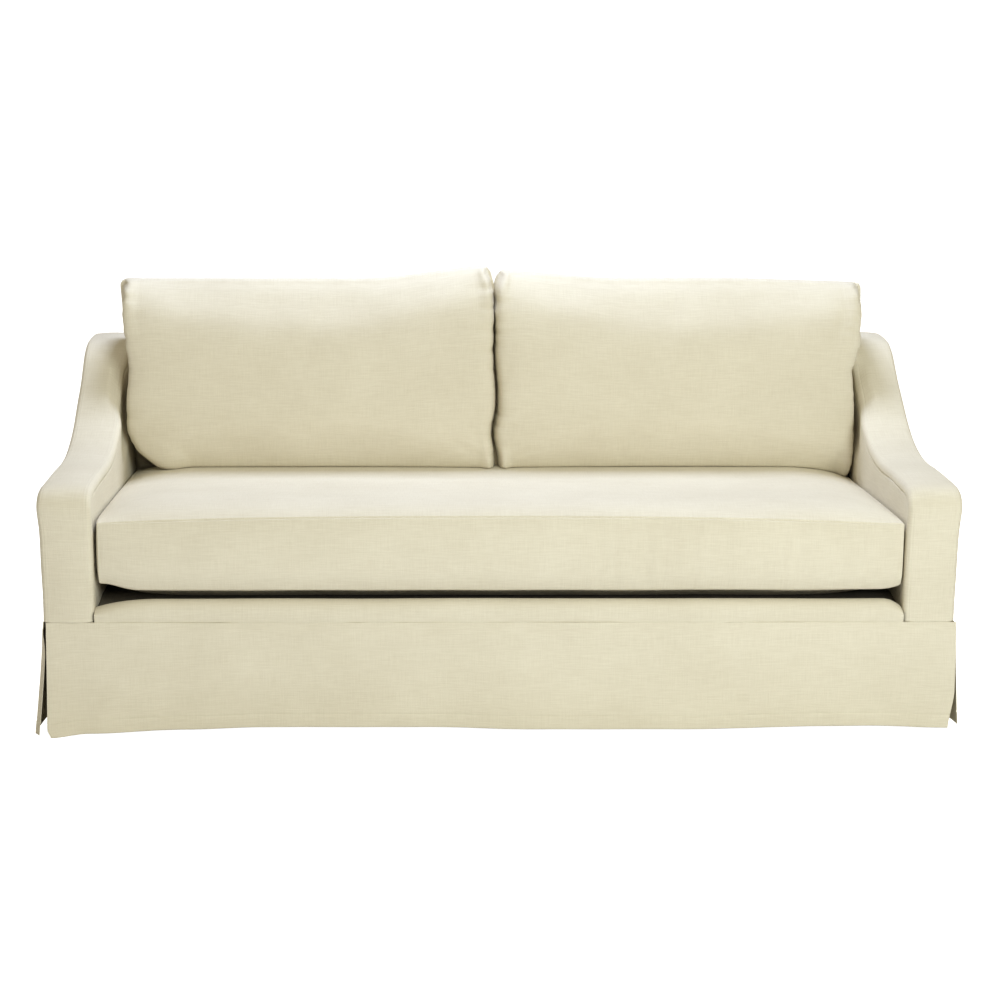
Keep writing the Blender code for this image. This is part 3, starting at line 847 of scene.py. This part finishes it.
# How far the front end of each side skirt swings forward at its hem, and how far it turns in.
SIDE_SKIRTS = (("left", -1, LEFT_SKIRT, 0.0345, 0.010), ("right", 1, RIGHT_SKIRT, 0.0060, 0.0))
for word, side, table, swing, curl in SIDE_SKIRTS:

    def side_skirt_place(column, row):
        share = SIDE_COLUMNS[column] / SIDE_WIDE
        at = SIDE_GAP + SIDE_COLUMNS[column]
        height = skirt_height(table, at, row)
        drop = skirt_drop(height)
        off = stand_off(height, table_value(table, at, "flare"))
        off -= curl * eased(drop / 0.30) * (1 - eased((at - SIDE_GAP) / 0.016))
        ahead = swing * drop**FLARE_POWER * (1 - share) ** END_POWER
        return side * (OUTER + off), FRONT_Y + at - ahead, height

    skirt_panel("skirt_" + word, SIDE_COLUMNS, SIDE_WIDE, side_skirt_place, (side, 0, 0), 71.0 + side)

BACK_COLUMNS = stops_along(2 * SKIRT_END, 0.012)


def back_skirt_place(column, row):
    at = BACK_COLUMNS[column] - SKIRT_END
    height = skirt_height(BACK_SKIRT, at, row)
    return at, FRONT_Y + DEPTH + stand_off(height, table_value(BACK_SKIRT, at, "flare")), height


skirt_panel("skirt_back", BACK_COLUMNS, 2 * SKIRT_END, back_skirt_place, (0, 1, 0), 81.0)

# Underlays
# Behind each open corner of the skirt hangs a separate strip of linen, folded round the corner of the
# sofa and sewn in at its top only, so that nothing shows through the opening.

UNDERLAY_LEG = 0.150
UNDERLAY_ROUND = 0.015
UNDERLAY_LONG = 0.25
UNDERLAY_TUCK = 0.008
UNDERLAY_SHORT = 0.002
UNDERLAY_ROWS = 24
# How far each column is from the corner, and how far round it, from the front or back leg to the side one.
UNDERLAY_PLAN = (
    [(UNDERLAY_LEG * (1 - i / 12), 0.0) for i in range(12)]
    + [(0.0, 90.0 * i / 6) for i in range(7)]
    + [(UNDERLAY_LEG * (i + 1) / 12, 90.0) for i in range(12)]
)


def underlay(word, side, table, end):
    long_skirt = FRONT_SKIRT if end == "front" else BACK_SKIRT

    def place(column, row):
        drop = 1 - row / (UNDERLAY_ROWS - 1)
        leg, turn = UNDERLAY_PLAN[column]
        angle = math.radians(turn)
        inset = 0.002 + UNDERLAY_TUCK * drop
        out = OUTER - inset - UNDERLAY_ROUND * (1 - math.sin(angle)) - (leg if turn == 0 else 0)
        inward = inset + UNDERLAY_ROUND * (1 - math.cos(angle)) + (leg if turn > 0 else 0)
        behind = inward if end == "front" else DEPTH - inward
        hems = table_value(long_skirt, side * out, "hem"), table_value(table, behind, "hem")
        hem = UNDERLAY_SHORT + max(hems)
        return side * out, FRONT_Y + behind, SKIRT_SEAM - drop * (SKIRT_SEAM - hem)

    def cut(column, row):
        leg, turn = UNDERLAY_PLAN[column]
        along = UNDERLAY_LEG - leg if turn == 0 else UNDERLAY_LEG + UNDERLAY_ROUND * math.radians(turn) + leg
        return along, UNDERLAY_LONG * row / (UNDERLAY_ROWS - 1)

    piece = cloth_panel(
        "underlay_%s_%s" % (end, word),
        len(UNDERLAY_PLAN),
        UNDERLAY_ROWS,
        place,
        cut,
        lambda u, v: drift(u, v, 0.08, 0.0012 * (1 - v / UNDERLAY_LONG), 91.0 + side) - 0.0010,
        (side, -1 if end == "front" else 1, 0),
        SKIRT_LINEN,
    )


for word, side, table in (("left", -1, LEFT_SKIRT), ("right", 1, RIGHT_SKIRT)):
    for end in ("front", "back"):
        underlay(word, side, table, end)

# Seat cushion
# One long bench cushion fills the seat: a linen case with a crowned top, a boxing band and a softly
# rounded seam, filled with foam in a soft wrap. It rests on the deck and overhangs the front band a little.

SEAT_HALF = 0.8955
SEAT_DEPTH = 0.738
SIDE_ROOM = 0.8985  # a cushion stays within this on both sides, beside the arms
REAR_ROOM = 0.7425  # and the seat cushion in front of this
REST_GAP = 0.0003  # between the seat cushion and the deck
SEAT_SEAM_TOP = 0.4785
SEAT_SEAM_RISE = 0.0170  # at the middle of the front
SEAT_SEAM_BOTTOM = 0.3268
SEAT_CORNER_LIFT = 0.014
SEAT_REAR_DROP = 0.011
SEAT_TOP = 0.497
SEAT_FRONT_SWELL = 0.010
SEAT_UNDERCUT = 0.016
SEAT_ROLL = 0.013  # how much plumper the top is just behind its front seam
ROLL_REACH = 0.050
SEAT_SWELL = 0.007
SEAT_SWELL_END = 0.47  # under the back cushions it isn't free to swell
CUSHION_LINEN = linen("linen_cushion")


def block(*stops):
    """A cube of half size 1, cut at these distances along each axis, with the place of its points."""
    mesh = bmesh.new()
    bmesh.ops.create_cube(mesh, size=2)
    for axis in range(3):
        along = [edge for edge in mesh.edges if abs((edge.verts[0].co - edge.verts[1].co)[axis]) > 0.5]
        if len(stops[axis]) > 2:
            bmesh.ops.subdivide_edges(mesh, edges=along, cuts=len(stops[axis]) - 2, use_grid_fill=True)
    for point in mesh.verts:
        for axis in range(3):
            step = round((point.co[axis] + 1) / 2 * (len(stops[axis]) - 1))
            point.co[axis] = 2 * stops[axis][step] / stops[axis][-1] - 1
    return mesh, [tuple(point.co) for point in mesh.verts]


def map_block(mesh, half_sizes):
    """Gives a block's six sides their place in the flat cloth, in metres."""
    cloth = mesh.loops.layers.uv.new("cloth")
    mesh.normal_update()
    for face in mesh.faces:
        axis = max(range(3), key=lambda i: abs(face.normal[i]))
        across, up = ((1, 2), (0, 2), (0, 1))[axis]
        for corner in face.loops:
            co = corner.vert.co
            corner[cloth].uv = (
                co[across] * half_sizes[across] + 3.0 * axis,
                co[up] * half_sizes[up] + (1.7 if face.normal[axis] > 0 else 0.0),
            )


SWELL_FRAMES = 20
SMOOTHINGS = 16  # they even out the small buckles of a case that was blown up


def filled(piece, seams, pressure, most):
    """Blows a case up on its filling, with its seams held. No point moves as far as most."""
    scene = bpy.context.scene
    held = piece.vertex_groups.new(name="seams")
    held.add(seams, 1.0, "REPLACE")
    case = piece.modifiers.new("filling", "CLOTH")
    case.settings.quality = 4
    case.settings.mass = 0.3
    case.settings.tension_stiffness = 12.0
    case.settings.compression_stiffness = 12.0
    case.settings.shear_stiffness = 4.0
    case.settings.bending_stiffness = 0.4
    case.settings.shrink_min = -0.012
    case.settings.use_pressure = True
    case.settings.uniform_pressure_force = pressure
    case.settings.effector_weights.gravity = 0.0
    case.settings.vertex_group_mass = held.name
    case.settings.pin_stiffness = 1.0
    case.point_cache.frame_end = SWELL_FRAMES
    for now in range(1, SWELL_FRAMES + 1):
        scene.frame_set(now)
    swollen = piece.evaluated_get(bpy.context.evaluated_depsgraph_get()).data
    moved = [end.co - start.co for start, end in zip(piece.data.vertices, swollen.vertices)]
    piece.modifiers.remove(case)
    piece.vertex_groups.remove(held)
    scene.frame_set(1)
    beside = [[] for _ in moved]
    for edge in piece.data.edges:
        start, end = edge.vertices
        beside[start].append(end)
        beside[end].append(start)
    for _ in range(SMOOTHINGS):
        sums = [sum((moved[i] for i in others), way) for way, others in zip(moved, beside)]
        moved = [total / (len(others) + 1) for total, others in zip(sums, beside)]
        for i in seams:
            moved[i] = Vector()
    for point, way in zip(piece.data.vertices, moved):
        point.co += way.normalized() * most * math.tanh(way.length / most)


def raise_folds(piece, folds, settle):
    """Lifts each point of a cushion by folds(index), then settles it clear of what it rests on."""
    raised = [point.co + point.normal * folds(point.index) for point in piece.data.vertices]
    for point, co in zip(piece.data.vertices, raised):
        point.co = settle(co)
    smooth = piece.modifiers.new("soft", "SUBSURF")
    smooth.levels = 1
    smooth.render_levels = 1


def plateau(across, along):
    """1 over the middle of the seat cushion's face, 0 at its four edges, and flatter at the rear."""
    return min(1.0, 1.12 * (1 - abs(across) ** 12) * (1 - abs(along) ** (12 if along > 0 else 7)))


def seat_seam(across, along):
    """Height of the cushion's upper seam, higher in the middle of the front and lower at the rear."""
    rise = SEAT_SEAM_RISE * max(0.0, 1 - abs(across + 0.06) ** 2.6)
    return SEAT_SEAM_TOP - SEAT_REAR_DROP + (SEAT_REAR_DROP + rise) * eased((1 - along) / 2)


def seat_height(across, along):
    """Height of the cushion's top at a place between -1 and 1 both ways."""
    edge = seat_seam(across, along)
    behind = SEAT_DEPTH * (along + 1) / 2
    roll = 1 - max(0.0, 1 - behind / ROLL_REACH) ** 2.4
    roll = roll * (1 - eased((behind - ROLL_REACH) / 0.30)) * (1 - abs(across) ** 16)
    return edge + (SEAT_TOP - edge) * plateau(across, along) + SEAT_ROLL * roll


def seat_top(out, behind):
    """The same at a place in metres."""
    across, along = out / SEAT_HALF, 2 * behind / SEAT_DEPTH - 1
    return seat_height(min(max(across, -1.0), 1.0), min(max(along, -1.0), 1.0))


def seat_place(across, along, level):
    """Where a point of the cushion lies before it swells. The level is -1 at its foot and 1 at its top."""
    full = plateau(across, along)
    front = eased((1 - along) / 2)
    corner = eased((abs(across) - (0.91 if across < 0 else 0.955)) / 0.08) * front
    behind = SEAT_DEPTH * (along + 1) / 2
    rest = full * eased(behind / DECK_START)
    foot_seam = SEAT_SEAM_BOTTOM + SEAT_CORNER_LIFT * corner
    top = seat_height(across, along)
    foot = foot_seam - (foot_seam - DECK - REST_GAP) * rest
    height = foot + (top - foot) * (level + 1) / 2
    belly = 1 - level * level
    half = SEAT_HALF + 0.002 * eased((along + 1) / 2)
    out = across * half * (1 - (0.008 if across < 0 else 0.0015) * abs(along) ** 14)
    behind -= SEAT_FRONT_SWELL * belly * abs(min(along, 0)) ** 8 * (1 - abs(across) ** 8)
    behind += SEAT_UNDERCUT * max(0.0, (-level - 0.5) / 0.5) ** 2 * max(0.0, -along) ** 8
    behind -= 0.006 * along * abs(across) ** 14
    return Vector((out, FRONT_Y + behind, height))


SEAT_STOPS = (stops_along(2 * SEAT_HALF, 0.015), stops_along(SEAT_DEPTH, 0.014), stops_along(0.155, 0.012))
seat_mesh, seat_spots = block(*SEAT_STOPS)
map_block(seat_mesh, (SEAT_HALF, SEAT_DEPTH / 2, 0.08))
for point, spot in zip(seat_mesh.verts, seat_spots):
    point.co = seat_place(*spot)
seat = dress("seat_cushion", seat_mesh, CUSHION_LINEN)


def seam_gaps(spot):
    """Distances from a point of the cushion to its side edges, its front and rear edges, and its seams."""
    return [(1 - abs(share)) * stops[-1] / 2 for share, stops in zip(spot, SEAT_STOPS)]


def settle_seat(co):
    """Keeps the cushion between the arms, in front of the back, on the deck and under the back cushions."""
    behind = co.y - FRONT_Y
    foot = DECK + REST_GAP if behind > DECK_START else DECK
    head = seat_top(co.x, behind) + SEAT_SWELL * (1 - eased((behind - SEAT_SWELL_END + 0.12) / 0.12))
    out = max(-SIDE_ROOM, min(SIDE_ROOM, co.x))
    return Vector((out, FRONT_Y + min(behind, REAR_ROOM), min(max(co.z, foot), head)))


SEAT_SEAM_FOLD = (0.0014, 0.0026)  # width and depth of the sewn lines round the boxing


def seat_folds(index):
    spot = seat_spots[index]
    aside, ahead, down = seam_gaps(spot)
    out = spot[0] * SEAT_HALF
    if down > 0:
        on_front = spot[1] < -0.999
        streaks = 0.0055 * noise.noise(Vector((out / 0.013, down / 0.25, 3.0))) * eased((out - 0.15) / 0.12)
        rest = drift(out, down, 0.30, 0.0008, 101.0) + on_front * streaks * (1 - eased((out - 0.80) / 0.08))
        return groove(down, *SEAT_SEAM_FOLD) + rest * eased(down / 0.012)
    away = min(aside, ahead)
    return groove(away, *SEAT_SEAM_FOLD) + drift(out, ahead, 0.20, 0.0022, 103.0) * eased(away / 0.03)


seat_seams = [i for i, spot in enumerate(seat_spots) if sum(gap < 0.006 for gap in seam_gaps(spot)) > 1]
filled(seat, seat_seams, 3.0, SEAT_SWELL)
raise_folds(seat, seat_folds, settle_seat)

# Back cushions
# Two knife-edged linen cushions stand on the seat cushion and lean on the inside back. Each is two panels
# sewn edge to edge and filled softly, with puckered side seams and small pointed corners.

CUSHION_FRONT = 0.070  # from the seam to the fullest part of the front, and of the rear
CUSHION_REAR = 0.118
CUSHION_SEAM = 0.0018
CUSHION_FOOT = 0.628  # how far behind the front of the arms the seam is, at the foot
CUSHION_LEAN = 0.046  # how much further back it is at the top
CUSHION_TOP = 0.9590
CUSHION_SAG = 0.030
CUSHION_NOTCH = 0.011  # the middle seams part by twice this at the top
CUSHION_POINT = 0.005
CUSHION_TUCK = 0.130  # how far back the outer foot corner of the left cushion is pressed
CUSHION_SWELL = 0.020
BACK_LEAN = 0.0560
SIDE_REACH = 0.036  # from a side seam to where the cushion is full
FOOT_REACH = 0.160
HEAD_REACH = 0.210
FOOT_POWER = 2.2  # how boxy the filling is towards the foot and the head, and more so beside the sides
HEAD_POWER = 2.6
SIDE_POWER = 3.4
SQUARE_CORNER = 5.0  # a corner of the filling is rounder below this
MIDDLE_SEAM = 0.0098
MIDDLE_OVERLAP = 0.002  # the middle seams pass each other by twice this, one in front of the other
MIDDLE_STEP = 0.009
# Heights, and how far the middle seams bend to the right there.
MIDDLE_SWAY = ((0.45, 0.0080), (0.507, 0.0080), (0.582, -0.0040), (0.660, 0.0060), (0.782, 0.0), (1.0, 0.0))
# Heights, and how far the outer side seams stand out above the arms.
LEFT_EAR = (
    (0.45, -0.003), (0.56, 0.0035), (0.67, 0.0035), (0.73, -0.002),
    (0.76, -0.002), (0.83, 0.0060), (0.88, 0.0120), (0.96, 0.0170),
)
RIGHT_EAR = (
    (0.45, -0.003), (0.56, 0.0035), (0.67, 0.0035), (0.735, -0.002),
    (0.77, 0.0080), (0.81, 0.0170), (0.88, 0.0210), (1.0, 0.0205),
)
# Side seams, how much higher the two top corners are, and for the left and right side: how square the
# filling is at the foot corner, how far it stays back there, and how wide the flat lip at the seam is.
BackCushion = namedtuple(
    "BackCushion", "word left right left_rise right_rise foot_corners foot_spreads lips ear"
)
LEFT_CUSHION = BackCushion(
    word="left",
    left=-0.8990,
    right=MIDDLE_SEAM,
    left_rise=0.000,
    right_rise=0.030,
    foot_corners=(2.0, SQUARE_CORNER),
    foot_spreads=(0.118, 0.0),
    lips=(0.002, 0.0070),
    ear=LEFT_EAR,
)
RIGHT_CUSHION = BackCushion(
    word="right",
    left=MIDDLE_SEAM,
    right=0.8990,
    left_rise=0.019,
    right_rise=-0.008,
    foot_corners=(SQUARE_CORNER, 7.0),
    foot_spreads=(0.0, 0.0),
    lips=(0.0070, 0.002),
    ear=RIGHT_EAR,
)
CUSHION_STOPS = (stops_along(0.90, 0.0095), (0.0, 1.0), stops_along(0.49, 0.0090))


def at_height(rows, height):
    """The second column of a table of heights, eased from row to row."""
    for start, end in zip(rows, rows[1:]):
        if height <= end[0]:
            return start[1] + (end[1] - start[1]) * eased((height - start[0]) / (end[0] - start[0]))
    return rows[-1][1]


def cushion_edge(row, across, upward):
    """0 where a back cushion is full, rising to 1 on the round line where its filling ends near the
    seams, with the part of it that is due to a side seam."""
    half, tall = (row.right - row.left) / 2, CUSHION_TOP - SEAT_TOP + CUSHION_SAG
    low = max(0.0, 1 - (1 + upward) / 2 * tall / FOOT_REACH)
    high = max(0.0, 1 - (1 - upward) / 2 * tall / HEAD_REACH)
    lip = row.lips[across > 0] + 0.003 * eased(high * 1.5) * (across * (row.left + row.right) > 0)
    reach = SIDE_REACH + row.foot_spreads[across > 0] * eased(low * 1.3)
    side = max(0.0, 1 - ((1 - abs(across)) * half - lip) / (reach - lip))
    square = row.foot_corners[across > 0] if low > 0 else SQUARE_CORNER
    return (side**square + max(low, high) ** square) ** (1 / square), side


def cushion_place(row, across, upward, face):
    """Where a point of a back cushion lies before it swells. The face is -1 in front and 1 behind."""
    middle, half = (row.left + row.right) / 2, (row.right - row.left) / 2
    hand = math.copysign(1.0, across)
    edge, side = cushion_edge(row, across, upward)
    power = (FOOT_POWER if upward < 0 else HEAD_POWER) + SIDE_POWER * min(side, 1.0)
    fullest = CUSHION_FRONT if face < 0 else CUSHION_REAR
    thick = CUSHION_SEAM + (fullest - CUSHION_SEAM) * max(0.0, 1 - edge**power) ** (1 / power)
    rise = row.left_rise * eased(-across * 1.4 - 0.4) + row.right_rise * eased(across * 1.4 - 0.4)
    top = CUSHION_TOP + rise
    bottom = SEAT_TOP - CUSHION_SAG
    point = eased((abs(across) - 0.965) / 0.035) * eased((upward - 0.94) / 0.06)
    height = bottom + (top - bottom) * (upward + 1) / 2 - CUSHION_POINT * point
    out = middle + across * half
    if across * middle < 0:  # towards the other cushion
        notch = CUSHION_NOTCH * eased((height - 0.930) / 0.055)
        out += abs(across) ** 8 * (at_height(MIDDLE_SWAY, height) - hand * (notch - MIDDLE_OVERLAP))
    else:
        out += hand * abs(across) ** 6 * at_height(row.ear, height)
    out -= hand * CUSHION_POINT * point
    lean = CUSHION_LEAN * (height - SEAT_TOP) / (CUSHION_TOP - SEAT_TOP)
    tucked = upward < 0 and row.foot_corners[across > 0] < SQUARE_CORNER
    tuck = CUSHION_TUCK * eased((edge - 0.98) / 0.24) * tucked
    behind = CUSHION_FOOT + lean + tuck + face * thick
    if row is RIGHT_CUSHION and across < 0:
        behind += MIDDLE_STEP * abs(across) ** 40
    return Vector((out, FRONT_Y + behind, height))


def settle_cushion(co):
    """Keeps a back cushion on the seat cushion, against the inside back and between the arms."""
    behind = min(co.y - FRONT_Y, INSIDE_BACK[0].behind + (co.z - DECK) * BACK_LEAN - 0.0008)
    most = SIDE_ROOM + 0.0045 * eased((0.72 - co.z) / 0.06)
    out = co.x if co.z > 0.74 else max(-most, min(most, co.x))
    return Vector((out, FRONT_Y + behind, max(co.z, seat_top(out, behind) + 0.0004)))


# Creases of the front panels, in metres from the lower left corner of each.
CUSHION_CREASES = {
    "left": (
        Crease(0.872, 0.045, 0.760, 0.120, 0.010, 0.0022),
        Crease(0.880, 0.060, 0.820, 0.160, 0.009, 0.0018),
        Crease(0.100, 0.040, 0.190, 0.110, 0.012, 0.0018),
        Crease(0.500, 0.450, 0.440, 0.330, 0.020, 0.0016),
    ),
    "right": (
        Crease(0.012, 0.040, 0.110, 0.080, 0.007, 0.0030),
        Crease(0.010, 0.050, 0.085, 0.120, 0.007, 0.0030),
        Crease(0.008, 0.060, 0.050, 0.150, 0.007, 0.0025),
        Crease(0.016, 0.034, 0.130, 0.050, 0.006, 0.0022),
        Crease(0.320, 0.030, 0.300, 0.130, 0.010, 0.0022),
        Crease(0.868, 0.450, 0.820, 0.300, 0.014, 0.0026),
    ),
}
PUCKER_GAP = 0.024
PUCKER_REACH = 0.030


def side_puckers(up, aside, seed):
    """Short level folds that run in from a side seam, unevenly spaced along it."""
    wave = noise.noise(Vector((up / PUCKER_GAP, aside / 0.30, seed)))
    return 0.0090 * (0.25 - abs(wave)) * bell(aside - 0.010, PUCKER_REACH) * eased(aside / 0.006)


for row in (LEFT_CUSHION, RIGHT_CUSHION):
    cushion_mesh, spots = block(*CUSHION_STOPS)
    map_block(cushion_mesh, (0.45, 0.05, 0.24))
    for point, spot in zip(cushion_mesh.verts, spots):
        point.co = cushion_place(row, spot[0], spot[2], spot[1])
    cushion = dress("back_cushion_" + row.word, cushion_mesh, CUSHION_LINEN)

    def cushion_folds(index):
        across, face, upward = spots[index]
        u, v = (across + 1) / 2 * CUSHION_STOPS[0][-1], (upward + 1) / 2 * CUSHION_STOPS[2][-1]
        aside, ends = min(u, CUSHION_STOPS[0][-1] - u), min(v, CUSHION_STOPS[2][-1] - v)
        seed = 111.0 + face + row.left + 3 * (across > 0)
        soft = drift(u, v, 0.14, 0.0030, seed + 5) * eased(min(aside, ends) / 0.05)
        creases = creased(u, v, CUSHION_CREASES[row.word]) if face < 0 else 0.0
        return side_puckers(v, aside, seed) + soft + creases

    cushion_seams = [i for i, spot in enumerate(spots) if max(abs(spot[0]), abs(spot[2])) > 0.999]
    filled(cushion, cushion_seams, 4.0, CUSHION_SWELL)
    raise_folds(cushion, cushion_folds, settle_cushion)

# Studio
# A plain white floor and background, a cool soft light above the sofa, a large one in front of it on the
# right, a weak warm one high on the left, and the camera a little above the back cushions.

FLOOR_HALF = 9.0
LIGHTS_AIM = (0.0, 0.0, 0.4)
FLOOR_GLOW = 0.85  # keeps the floor as white as the background, and only for the camera


def floor_material():
    material = bpy.data.materials.new("white_floor")
    material.use_nodes = True
    nodes, links = material.node_tree.nodes, material.node_tree.links
    shader = nodes["Principled BSDF"]
    shader.inputs["Base Color"].default_value = (0.93, 0.93, 0.93, 1.0)
    shader.inputs["Roughness"].default_value = 0.9
    shader.inputs["Specular IOR Level"].default_value = 0.0
    shader.inputs["Emission Color"].default_value = (FLOOR_GLOW, FLOOR_GLOW, FLOOR_GLOW, 1.0)
    links.new(nodes.new("ShaderNodeLightPath").outputs["Is Camera Ray"], shader.inputs["Emission Strength"])
    return material


floor_mesh = bmesh.new()
bmesh.ops.create_grid(floor_mesh, x_segments=1, y_segments=1, size=FLOOR_HALF)
floor_data = bpy.data.meshes.new("studio_floor")
floor_mesh.to_mesh(floor_data)
floor_mesh.free()
floor_data.materials.append(floor_material())
floor = bpy.data.objects.new("studio_floor", floor_data)
bpy.context.scene.collection.objects.link(floor)


def soft_light(name, place, size, power, color):
    data = bpy.data.lights.new(name, "AREA")
    data.size = size
    data.energy = power
    data.color = color
    lamp = bpy.data.objects.new(name, data)
    bpy.context.scene.collection.objects.link(lamp)
    lamp.location = place
    lamp.rotation_euler = (Vector(LIGHTS_AIM) - Vector(place)).to_track_quat("-Z", "Y").to_euler()


soft_light("top_light", (0.0, 0.6, 3.0), 0.8, 45.0, (0.70, 0.78, 1.0))
soft_light("right_light", (1.8, -4.2, 2.2), 1.8, 83.0, (0.94, 1.0, 0.96))
soft_light("left_light", (-1.6, -3.2, 3.4), 1.8, 12.0, (1.0, 0.95, 0.88))

# The room lights the sofa with a warm tone, and the camera sees it white.
world = bpy.data.worlds.new("studio")
world.use_nodes = True
nodes, links = world.node_tree.nodes, world.node_tree.links
room = nodes["Background"]
room.inputs["Color"].default_value = (1.0, 0.92, 0.74, 1.0)
room.inputs["Strength"].default_value = 0.345
backdrop = nodes.new("ShaderNodeBackground")
backdrop.inputs["Color"].default_value = (1.0, 1.0, 1.0, 1.0)
seen = nodes.new("ShaderNodeLightPath")
either = nodes.new("ShaderNodeMixShader")
links.new(seen.outputs["Is Camera Ray"], either.inputs["Fac"])
links.new(room.outputs["Background"], either.inputs[1])
links.new(backdrop.outputs["Background"], either.inputs[2])
links.new(either.outputs["Shader"], nodes["World Output"].inputs["Surface"])
bpy.context.scene.world = world
bpy.context.scene.view_settings.view_transform = "Standard"
bpy.context.scene.view_settings.look = "Medium High Contrast"

camera = bpy.data.objects.new("camera", bpy.data.cameras.new("camera"))
camera.data.lens = 74.23
camera.data.shift_x = 0.0786
camera.location = (-0.1939, FRONT_Y - 4.4424, 1.4285)
camera.rotation_euler = (math.pi / 2 - 0.1987, 0.0, -0.0047)
bpy.context.scene.collection.objects.link(camera)
bpy.context.scene.camera = camera
